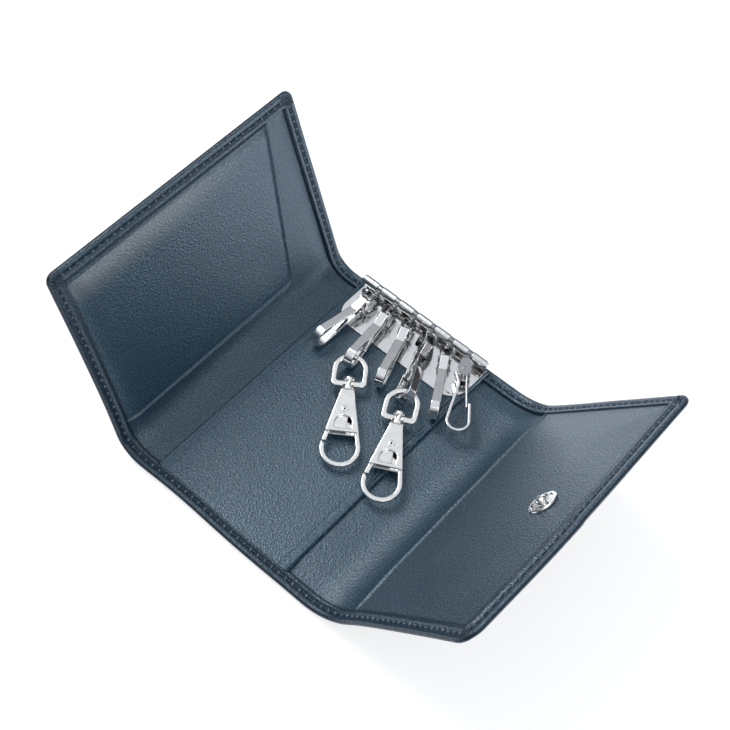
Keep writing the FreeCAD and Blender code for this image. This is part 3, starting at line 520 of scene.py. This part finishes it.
def make_shell():
    right_steps = [step * RIGHT_HEM_STRETCH for step in SHELL_STEPS]
    u_lines = grid_lines(-LEFT.edge, RIGHT.edge, SHELL_STEPS, right_steps, CUTS)
    y_lines = grid_lines(-HALF_LENGTH, HALF_LENGTH, SHELL_STEPS, SHELL_STEPS)
    u, y = np.meshgrid(u_lines, y_lines, indexing="ij")
    in_u = np.minimum(u + LEFT.edge, RIGHT.edge - u)
    in_y = HALF_LENGTH - np.abs(y)
    depth = hem_depth(u, y)
    pleats = corner_pleats(in_u, in_y, depth)
    radius = np.where(u < 0, LEFT_CORNER, np.where(y < 0, RIGHT_NEAR_CORNER, RIGHT_FAR_CORNER))
    shift_u, shift_y = corner_shift(in_u, in_y, radius)
    u = u - np.sign(u - (RIGHT.edge - LEFT.edge) / 2) * shift_u
    y = y - np.sign(y) * shift_y

    top = hem_height(u, y, depth) + PLEAT_HEIGHT * pleats
    bottom = outer_height(depth)
    middle_height = (HEM_TOP + EDGE_THINNING - PANEL) / 2
    full = edge_round(depth, EDGE_ROUND)
    top = middle_height + (top - middle_height) * full
    bottom = middle_height + (bottom - middle_height) * full
    sheet = Sheet(u, y, top, bottom, shell_paint_and_shade(y, depth, pleats))
    add_stretches(sheet, u_lines, "shell", "outer_leather", OUTER_LEATHER)


# Lining

def pressed(u, y):
    """How far the lining is pressed down beside the sewn hem."""
    return PRESS_DEPTH * (1 - smooth_step(hem_depth(u, y), *PRESS_RANGE))


def soft_wave(u, y, height, length):
    """Slow waves that die out towards the hem."""
    return height * ripple(u, y, length) * smooth_step(hem_depth(u, y), *WAVE_RANGE)


def make_lining():
    u_lines = grid_lines(TUCKED_LEFT, TUCKED_RIGHT, LINING_STEPS, LINING_STEPS, CUTS)
    y_lines = grid_lines(-TUCKED_SIDE, TUCKED_SIDE, LINING_STEPS, LINING_STEPS)
    u, y = np.meshgrid(u_lines, y_lines, indexing="ij")
    top = soft_wave(u, y, LINING_WAVE, LINING_WAVE_LENGTH) - pressed(u, y)
    bottom = np.full_like(u, -LINING_LEATHER)
    sheet = Sheet(u, y, top, bottom, painted_crease_shade(u, y))
    add_stretches(sheet, u_lines, "lining_skin", "lining", LINING)


# Key patch and pockets

def turned_edge(depth, top, bottom):
    """Top and bottom of a leather edge that is turned under, with a crease inside it."""
    full = edge_round(depth, POCKET_LEATHER)
    top = top + ridge(depth, *TURN_ROLL) - ridge(depth, *TURN_CREASE)
    middle = (top + bottom) / 2
    return middle + (top - middle) * full, middle + (bottom - middle) * full


def under_hem(u, y, height, reach, power):
    """Height of a pocket's face that comes out from under the hem and swells."""
    t = np.clip((hem_depth(u, y) - HEM_WIDTH + UNDER_HEM) / reach, 0, 1)
    return height * (1 - (1 - t) ** power)


def add_pocket(sheet, name, material, body, node):
    """A patch or pocket as one skin, which stands for its CAD node."""
    piece = sheet.mesh(name)
    piece.data.materials.append(material)
    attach(piece, body)
    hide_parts(node)


def make_patch():
    """The patch under the keys, tucked under the near hem, with rolled side edges."""
    half_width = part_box("key_patch")[1].x / MM
    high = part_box("key_patch")[1].y / MM
    u_lines = grid_lines(-half_width, half_width, WELT_STEPS, WELT_STEPS)
    y_lines = grid_lines(-TUCKED_SIDE, high, PATCH_END_STEPS, ROUND_STEPS)
    u, y = np.meshgrid(u_lines, y_lines, indexing="ij")
    depth = half_width - np.abs(u)
    wave = PATCH_WAVE * ripple(u, y, PATCH_WAVE_LENGTH) * smooth_step(depth, *PATCH_WAVE_RANGE)
    welt = ridge(depth, *PATCH_WELT) - ridge(depth, *PATCH_SEAM)
    top = POCKET_LEATHER + wave + welt * smooth_step(y, high, high - PATCH_WELT_FADE)
    bottom = np.full_like(u, 0.0)
    top, bottom = turned_edge(np.minimum(depth, high - y), top, bottom)
    add_pocket(Sheet(u, y, top, bottom), "patch_skin", INNER_LEATHER, "centre_panel", "key_patch")


def make_bill_pocket():
    """The left pocket, with its slanted edge, a slight belly and a painted highlight band beside the outer
    hem.
    """
    u_high = -LEFT.end - BILL_FROM_FOLD
    u_lines = grid_lines(TUCKED_LEFT, u_high, HEM_STEPS, TURN_STEPS)
    y_lines = grid_lines(-TUCKED_SIDE, BILL_SLANT_LOW, HEM_STEPS, TURN_STEPS)
    u, y = np.meshgrid(u_lines, y_lines, indexing="ij")
    from_fold = u_high - u
    from_slant = BILL_SLANT_LOW - y
    shift_u, shift_y = corner_shift(from_fold, from_slant, BILL_CORNER)
    reach = from_fold / (LEFT.edge + u_high)
    lift = (BILL_SLANT_HIGH - BILL_SLANT_LOW) * reach * smooth_step(y, -TUCKED_SIDE, BILL_SLANT_LOW)
    u = u - shift_u
    y = y - shift_y + lift

    inset = u + LEFT.edge
    belly = np.sin(np.pi * np.clip(reach, 0, 1))
    belly = belly * smooth_step(y, -TUCKED_SIDE, BILL_BELLY_REACH - TUCKED_SIDE)
    bottom = BILL_MOUTH * belly * smooth_step(from_slant, BILL_MOUTH_REACH, 0.0) - pressed(u, y)
    top = under_hem(u, y, BILL_SWELL, BILL_SWELL_REACH, BILL_SWELL_POWER) - BILL_SINK + BILL_BELLY * belly
    top = top + ridge(inset, *BILL_SEAM_RIDGE) - ridge(inset, *BILL_SEAM_GROOVE)
    top = top + soft_wave(u, y, BILL_WAVE, BILL_WAVE_LENGTH)
    top, bottom = turned_edge(np.minimum(from_slant, from_fold), top, bottom)
    # Painted highlight: a lighter band beside the outer hem that fades towards the far end
    band = smooth_step(inset, *HIGHLIGHT_RISE) * (1 - smooth_step(inset, *HIGHLIGHT_FALL))
    painted_highlight = HIGHLIGHT_BAND * band * (1 - smooth_step(y, *HIGHLIGHT_FADE))
    sheet = Sheet(u, y, top, bottom, painted_crease_shade(u, y) - painted_highlight)
    add_pocket(sheet, "bill_pocket_skin", INNER_LEATHER, "left_flap", "bill_pocket")


def make_card_pocket():
    """The right pocket, open at the fold side."""
    u_low = RIGHT.end + CARD_FROM_FOLD
    u_lines = grid_lines(u_low, TUCKED_RIGHT, TURN_STEPS, HEM_STEPS)
    y_lines = grid_lines(-TUCKED_SIDE, TUCKED_SIDE, HEM_STEPS, HEM_STEPS)
    u, y = np.meshgrid(u_lines, y_lines, indexing="ij")
    from_fold = u - u_low
    across = np.clip(from_fold / (TUCKED_RIGHT - u_low), 0, 1)
    middle = np.cos(np.pi * y / (2 * TUCKED_SIDE)) * np.sin(np.pi * across)
    top = under_hem(u, y, POCKET_LEATHER, CARD_SWELL_REACH, CARD_SWELL_POWER)
    top = top + soft_wave(u, y, CARD_WAVE, CARD_WAVE_LENGTH) * (1 - middle)
    bottom = np.full_like(u, 0.0)
    top, bottom = turned_edge(from_fold, top, bottom)
    sheet = Sheet(u, y, top, bottom, painted_crease_shade(u, y))
    add_pocket(sheet, "card_pocket_skin", LIT_CARD_LEATHER, "right_flap", "card_pocket")


# Stitches along the hem, and the bridges of leather between them

def hem_path(phase):
    """Places along the seam, once round the case and clear of the corners, with their heading."""
    left, right = STITCH_INSET - LEFT.edge, RIGHT.edge - STITCH_INSET * RIGHT_HEM_STRETCH
    side = HALF_LENGTH - STITCH_INSET
    clear = HEM_WIDTH - STITCH_INSET
    corners = [(left, -side), (right, -side), (right, side), (left, side), (left, -side)]
    places = []
    for (u0, y0), (u1, y1) in zip(corners, corners[1:]):
        count = round(math.hypot(u1 - u0, y1 - y0) / STITCH_PITCH)
        heading = math.atan2(y1 - y0, u1 - u0)
        for i in range(count):
            t = (i + phase) / count
            u, y = u0 + (u1 - u0) * t, y0 + (y1 - y0) * t
            if min(u - left, right - u) >= clear or side - abs(y) >= clear:
                places.append((u, y, heading))
    return places


def bead_rings(u, y, heading, length, width, crown, sink, face):
    """Rings of a bead of thread or leather that is thick in the middle and sunk at both ends."""
    around = np.linspace(0, 2 * math.pi, BEAD_SIDES, endpoint=False)
    rings = []
    for t in np.linspace(-1, 1, BEAD_RINGS):
        reach = t * length / 2
        size = width / 2 * max(math.sqrt(1 - t ** 4), BEAD_TIP)
        across = size * np.cos(around)
        rise = crown - sink * t ** 2 - width / 4 + size / 2 * np.sin(around)
        ring_u = u + reach * math.cos(heading) - across * math.sin(heading)
        ring_y = y + reach * math.sin(heading) + across * math.cos(heading)
        height = HEM_TOP + hem_wave(ring_u, ring_y) + rise
        if face < 0:
            height = EDGE_THINNING - PANEL - rise
        rings.append(place(ring_u, ring_y, height))
    return rings


def bead_mesh(name, rows):
    """One mesh of closed beads, each a row of rings."""
    points = []
    faces = []
    for rings in rows:
        first = len(points)
        count = len(rings[0])
        for ring in rings:
            points += [tuple(point) for point in ring]
        for low in range(first, len(points) - count, count):
            faces += [(low + k, low + count + k, low + count + (k + 1) % count, low + (k + 1) % count)
                      for k in range(count)]
        faces.append(list(range(first, first + count)))
        faces.append(list(range(len(points) - 1, len(points) - count - 1, -1)))
    mesh = bpy.data.meshes.new(name)
    mesh.from_pydata(points, [], faces)
    for polygon in mesh.polygons:
        polygon.use_smooth = True
    return add_object(name, mesh)


def make_seam(prefix, phase, size, material):
    """A row of beads round the hem, on both faces. Their size is length, width, crown and sink."""
    places = hem_path(phase)
    for name, low, high, body, other in STRETCHES:
        rows = [bead_rings(*spot, *size, face)
                for spot in places if low <= spot[0] < high for face in (1, -1)]
        piece = bead_mesh(f"{prefix}_{name}", rows)
        piece.data.materials.append(material)
        follow(piece, low, high, body, other)


# Materials

GRAIN_SIZE = 0.6
SPECKLE_SIZE = 0.5
SPECKLE_RANGE = (0.45, 0.59)
CREASE_SIZE = 3.2
TONE_SIZE = 26
TONE_LOW = (0.86, 0.88, 0.9)
TONE_HIGH = (1, 1, 1)
TONE_RANGE = (0.35, 0.65)
GRAIN_DEPTH = 0.12
GRAIN_STRENGTH = 0.9
CREASE_STRENGTH = 0.3
ROUGHER = 0.2
SMOOTHER = 0.16
LEATHER_SHEEN = 0.9
SHEEN_TINT = (0.78, 0.92, 1.0, 1.0)
PAINT_AND_SHADE_COLOR = (0.006, 0.01, 0.016, 1)
PAINT_SHEEN = 0.25
HIGHLIGHT_COLOR = (0.2, 0.21, 0.22, 1)
THREAD_COLORS = ((0.008, 0.014, 0.025), (0.022, 0.035, 0.055))
THREAD_TWIST = 0.6
THREAD_ROUGHNESS = 0.6
BOARD_COLORS = ((0.24, 0.21, 0.17), (0.36, 0.33, 0.27))
BOARD_FIBRE = 0.8
BOARD_ROUGHNESS = 0.9
METAL_MARKS = 3.5
METAL_MARKS_RANGE = (0.35, 0.6)
METAL_WEAR = 0.93
METAL_GLOSS = (0.8, 1.25)
BEVEL_SAMPLES = 6


def new_material(name):
    material = bpy.data.materials.new(name)
    material.use_nodes = True
    tree = material.node_tree
    return material, tree, tree.nodes["Principled BSDF"]


def add_node(tree, kind, **values):
    """A node with the named inputs or settings."""
    node = tree.nodes.new(kind)
    for key, value in values.items():
        if key in node.inputs:
            node.inputs[key].default_value = value
        else:
            setattr(node, key, value)
    return node


def texture(tree, kind, size, where, **values):
    """A texture with features of about the given size, at the coordinates of a socket."""
    node = add_node(tree, kind, Scale=1 / (size * MM), **values)
    tree.links.new(where, node.inputs["Vector"])
    return node


def multiply(tree, source, factor):
    node = add_node(tree, "ShaderNodeMath", operation="MULTIPLY")
    node.inputs[1].default_value = factor
    tree.links.new(source, node.inputs[0])
    return node.outputs[0]


def color_ramp(tree, source, low, high, low_at=0.0, high_at=1.0):
    ramp = tree.nodes.new("ShaderNodeValToRGB")
    ramp.color_ramp.elements[0].position = low_at
    ramp.color_ramp.elements[0].color = (*low, 1)
    ramp.color_ramp.elements[1].position = high_at
    ramp.color_ramp.elements[1].color = (*high, 1)
    tree.links.new(source, ramp.inputs["Fac"])
    return ramp.outputs["Color"]


def value_range(tree, source, low, high):
    """A value from 0 to 1, spread over the range from low to high."""
    scale = add_node(tree, "ShaderNodeMapRange", **{"To Min": low, "To Max": high})
    tree.links.new(source, scale.inputs["Value"])
    return scale.outputs["Result"]


def mix_colors(tree, mode, amount, first, second):
    """Blends two colours. Each of the last three values is a socket or a constant."""
    node = add_node(tree, "ShaderNodeMix", data_type="RGBA", blend_type=mode)
    amount_socket, first_socket, second_socket = node.inputs[0], node.inputs[6], node.inputs[7]
    for value, socket in ((amount, amount_socket), (first, first_socket), (second, second_socket)):
        if isinstance(value, bpy.types.NodeSocket):
            tree.links.new(value, socket)
        else:
            socket.default_value = value
    return node.outputs[2]


def object_place(tree):
    """Coordinates on the object itself."""
    return tree.nodes.new("ShaderNodeTexCoord").outputs["Object"]


def unrolled_place(tree):
    """Coordinates on the unrolled leather."""
    flat = tree.nodes.new("ShaderNodeUVMap")
    flat.uv_map = "unrolled"
    return flat.outputs["UV"]


def leather_material(name, dark, light, rough, where=unrolled_place):
    """Finished leather: a fine pebble grain with lighter peaks, slow tone changes and faint creases."""
    material, tree, shader = new_material(name)
    links = tree.links
    spot = where(tree)
    grain = texture(tree, "ShaderNodeTexVoronoi", GRAIN_SIZE, spot)
    speckle = texture(tree, "ShaderNodeTexNoise", SPECKLE_SIZE, spot, Detail=3.0, Roughness=0.7)
    crease = texture(tree, "ShaderNodeTexNoise", CREASE_SIZE, spot, Detail=5.0)
    tone = texture(tree, "ShaderNodeTexNoise", TONE_SIZE, spot, Detail=3.0)
    # Edge paint, painted shade and painted highlight, carried by the sheet
    paint = add_node(tree, "ShaderNodeAttribute", attribute_name="edge_paint_and_painted_light").outputs["Fac"]

    # Positive paint is dark edge paint and painted shade, negative paint is a painted highlight
    peaks = color_ramp(tree, speckle.outputs["Fac"], dark, light, *SPECKLE_RANGE)
    slow = color_ramp(tree, tone.outputs["Fac"], TONE_LOW, TONE_HIGH, *TONE_RANGE)
    base = mix_colors(tree, "MULTIPLY", 1.0, peaks, slow)
    base = mix_colors(tree, "MIX", multiply(tree, paint, -1.0), base, HIGHLIGHT_COLOR)
    links.new(mix_colors(tree, "MIX", paint, base, PAINT_AND_SHADE_COLOR), shader.inputs["Base Color"])
    links.new(value_range(tree, speckle.outputs["Fac"], rough + ROUGHER, rough - SMOOTHER),
              shader.inputs["Roughness"])
    links.new(value_range(tree, paint, LEATHER_SHEEN, LEATHER_SHEEN * PAINT_SHEEN),
              shader.inputs["Specular IOR Level"])
    shader.inputs["Specular Tint"].default_value = SHEEN_TINT

    fine = add_node(tree, "ShaderNodeBump", Strength=GRAIN_STRENGTH, Distance=GRAIN_DEPTH * MM)
    links.new(grain.outputs["Distance"], fine.inputs["Height"])
    coarse = add_node(tree, "ShaderNodeBump", Strength=CREASE_STRENGTH, Distance=GRAIN_DEPTH * MM)
    links.new(crease.outputs["Fac"], coarse.inputs["Height"])
    links.new(fine.outputs["Normal"], coarse.inputs["Normal"])
    links.new(coarse.outputs["Normal"], shader.inputs["Normal"])
    return material


def thread_material():
    material, tree, shader = new_material("thread")
    twist = texture(tree, "ShaderNodeTexWave", THREAD_TWIST, object_place(tree), Distortion=1.0)
    tree.links.new(color_ramp(tree, twist.outputs["Fac"], *THREAD_COLORS), shader.inputs["Base Color"])
    shader.inputs["Roughness"].default_value = THREAD_ROUGHNESS
    return material


def metal_material(name, color, rough, edge):
    """Nickel plate: faint handling marks in its gloss and tone, and edges rounded to a radius."""
    material, tree, shader = new_material(name)
    marks = texture(tree, "ShaderNodeTexNoise", METAL_MARKS, object_place(tree), Detail=4.0).outputs["Fac"]
    worn = tuple(channel * METAL_WEAR for channel in color)
    tree.links.new(color_ramp(tree, marks, worn, color, *METAL_MARKS_RANGE), shader.inputs["Base Color"])
    smooth, dull = (rough * share for share in METAL_GLOSS)
    tree.links.new(value_range(tree, marks, smooth, dull), shader.inputs["Roughness"])
    shader.inputs["Metallic"].default_value = 1.0
    rounded = add_node(tree, "ShaderNodeBevel", samples=BEVEL_SAMPLES, Radius=edge * MM)
    tree.links.new(rounded.outputs["Normal"], shader.inputs["Normal"])
    return material


def board_material():
    material, tree, shader = new_material("core_board")
    fibre = texture(tree, "ShaderNodeTexNoise", BOARD_FIBRE, object_place(tree), Detail=6.0)
    tree.links.new(color_ramp(tree, fibre.outputs["Fac"], *BOARD_COLORS), shader.inputs["Base Color"])
    shader.inputs["Roughness"].default_value = BOARD_ROUGHNESS
    return material


# Each leather has the colours of its hollows and its peaks, and its roughness
OUTER_LEATHER = leather_material("outer_leather", (0.002, 0.008, 0.018), (0.032, 0.078, 0.119), 0.36)
INNER_LEATHER = leather_material("inner_leather", (0.002, 0.01, 0.023), (0.042, 0.103, 0.153), 0.36)
# The card pocket's leather is a lighter copy of the pocket leather: painted light for the brighter right
# flap
LIT_CARD_LEATHER = leather_material("lit_card_leather", (0.006, 0.014, 0.025), (0.1, 0.155, 0.195), 0.38)
LINING = leather_material("lining", (0.002, 0.01, 0.022), (0.039, 0.093, 0.138), 0.4)
BRIDGE_LEATHER = leather_material("bridge_leather", (0.018, 0.044, 0.07), (0.046, 0.095, 0.138), 0.3,
                                  object_place)
THREAD = thread_material()

# By a word of the node's name: the metals have a colour, a roughness and an edge radius
NODE_MATERIALS = {
    "rail": metal_material("rail_nickel", (0.8, 0.8, 0.79), 0.14, 0.16),
    "snap": metal_material("snap_nickel", (0.8, 0.79, 0.77), 0.1, 0.25),
    "socket": metal_material("snap_nickel_socket", (0.74, 0.73, 0.71), 0.12, 0.2),
    # Hook loops and clasps are lighter copies of the nickel so their tops read white, tongues and stirrups
    # darker copies as painted shade for dark reflections
    "hook": metal_material("hook_nickel", (0.86, 0.86, 0.85), 0.1, 0.35),
    "tongue": metal_material("tongue_nickel_painted_shade", (0.34, 0.34, 0.35), 0.12, 0.2),
    "stirrup": metal_material("stirrup_nickel_painted_shade", (0.42, 0.42, 0.43), 0.12, 0.25),
    "clasp": metal_material("clasp_nickel", (0.9, 0.89, 0.86), 0.1, 0.55),
    "core": board_material(),
}


def dress_nodes():
    """The hard CAD nodes keep their shape and get a finish, by the last or the first word of their name."""
    for name, node in frame["nodes"].items():
        words = name.split("_")
        material = NODE_MATERIALS.get(words[-1]) or NODE_MATERIALS.get(words[0])
        if material is None:
            continue
        node.data.materials.clear()
        node.data.materials.append(material)


make_shell()
make_lining()
make_patch()
make_bill_pocket()
make_card_pocket()
make_seam("stitches", STITCH_PHASE, (STITCH_LENGTH, STITCH_WIDTH, STITCH_CROWN, STITCH_SINK), THREAD)
make_seam("bridges", BRIDGE_PHASE, (BRIDGE_LENGTH, BRIDGE_WIDTH, BRIDGE_CROWN, BRIDGE_SINK), BRIDGE_LEATHER)
dress_nodes()


# Stage: floor, light and camera

FLOOR_DROP = -0.1
FLOOR_REACH = 30000
FLOOR_TONE = (0.45, 0.45, 0.45, 1)
FLOOR_ROUGHNESS = 0.9
# How the floor glows to the camera and in mirrors, by kind of ray: colour and strength
FLOOR_GLOWS = {
    "Is Camera Ray": ((1, 1, 1, 1), 0.65),
    "Is Glossy Ray": ((0.95, 1.05, 1.2, 1), 1.0),
}
# Square lamps: place, width and power in watts
LIGHTS = {
    "key": ((-450, 60, 560), 420, 3.3),
    "fill": ((480, -180, 520), 500, 1.6),
    "rim": ((560, 300, 120), 220, 1.1),
}
LIGHT_TARGET = (0, 0, 10)
SKY_LOW = (0.05, 0.05, 0.055)
SKY_HIGH = (0.78, 0.82, 0.88)
SKY_RANGE = (0.3, 0.85)


def make_floor():
    mesh = bpy.data.meshes.new("floor")
    reach = FLOOR_REACH * MM
    mesh.from_pydata([(-reach, -reach, 0), (reach, -reach, 0), (reach, reach, 0), (-reach, reach, 0)],
                     [], [(0, 1, 2, 3)])
    floor = add_object("floor", mesh)
    floor.location.z = FLOOR_DROP * MM
    material, tree, shader = new_material("floor")
    shader.inputs["Base Color"].default_value = FLOOR_TONE
    shader.inputs["Roughness"].default_value = FLOOR_ROUGHNESS
    shader.inputs["Specular IOR Level"].default_value = 0.0
    ray = tree.nodes.new("ShaderNodeLightPath")
    surface = shader.outputs[0]
    for kind, (color, strength) in FLOOR_GLOWS.items():
        glow = add_node(tree, "ShaderNodeEmission", Color=color)
        tree.links.new(multiply(tree, ray.outputs[kind], strength), glow.inputs["Strength"])
        both = tree.nodes.new("ShaderNodeAddShader")
        tree.links.new(surface, both.inputs[0])
        tree.links.new(glow.outputs[0], both.inputs[1])
        surface = both.outputs[0]
    tree.links.new(surface, tree.nodes["Material Output"].inputs["Surface"])
    floor.data.materials.append(material)


def make_light(name, place_at, size, watts):
    lamp = bpy.data.lights.new(name, "AREA")
    lamp.shape = "SQUARE"
    lamp.size = size * MM
    lamp.energy = watts
    light = add_object(name, lamp)
    light.location = Vector(place_at) * MM
    aim = Vector(LIGHT_TARGET) * MM - light.location
    light.rotation_euler = aim.to_track_quat("-Z", "Y").to_euler()


def make_world():
    """A sky that is dark at the horizon and pale overhead."""
    world = bpy.data.worlds.new("studio")
    world.use_nodes = True
    tree = world.node_tree
    back = tree.nodes["Background"]
    where = tree.nodes.new("ShaderNodeTexCoord")
    split = tree.nodes.new("ShaderNodeSeparateXYZ")
    tree.links.new(where.outputs["Generated"], split.inputs["Vector"])
    sky = color_ramp(tree, split.outputs["Z"], SKY_LOW, SKY_HIGH, *SKY_RANGE)
    tree.links.new(sky, back.inputs["Color"])
    back.inputs["Strength"].default_value = 1.0
    bpy.context.scene.world = world


def make_camera():
    azimuth, elevation, roll = (math.radians(v) for v in (CAMERA_AZIMUTH, CAMERA_ELEVATION, CAMERA_ROLL))
    back = Vector((
        math.sin(azimuth) * math.cos(elevation),
        -math.cos(azimuth) * math.cos(elevation),
        math.sin(elevation),
    ))
    right = Vector((math.cos(azimuth), math.sin(azimuth), 0))
    up = back.cross(right)
    turned_right = right * math.cos(roll) + up * math.sin(roll)
    turned_up = up * math.cos(roll) - right * math.sin(roll)
    camera = add_object("camera", bpy.data.cameras.new("camera"))
    camera.data.lens = CAMERA_LENS
    camera.data.clip_start = CAMERA_CLIP * MM
    axes = Matrix((turned_right, turned_up, back)).transposed().to_4x4()
    axes.translation = (Vector(CAMERA_TARGET) + back * CAMERA_DISTANCE) * MM
    camera.matrix_world = axes
    bpy.context.scene.camera = camera


make_floor()
for light_name, light_values in LIGHTS.items():
    make_light(light_name, *light_values)
make_world()
make_camera()
bpy.context.scene.view_settings.view_transform = "Standard"
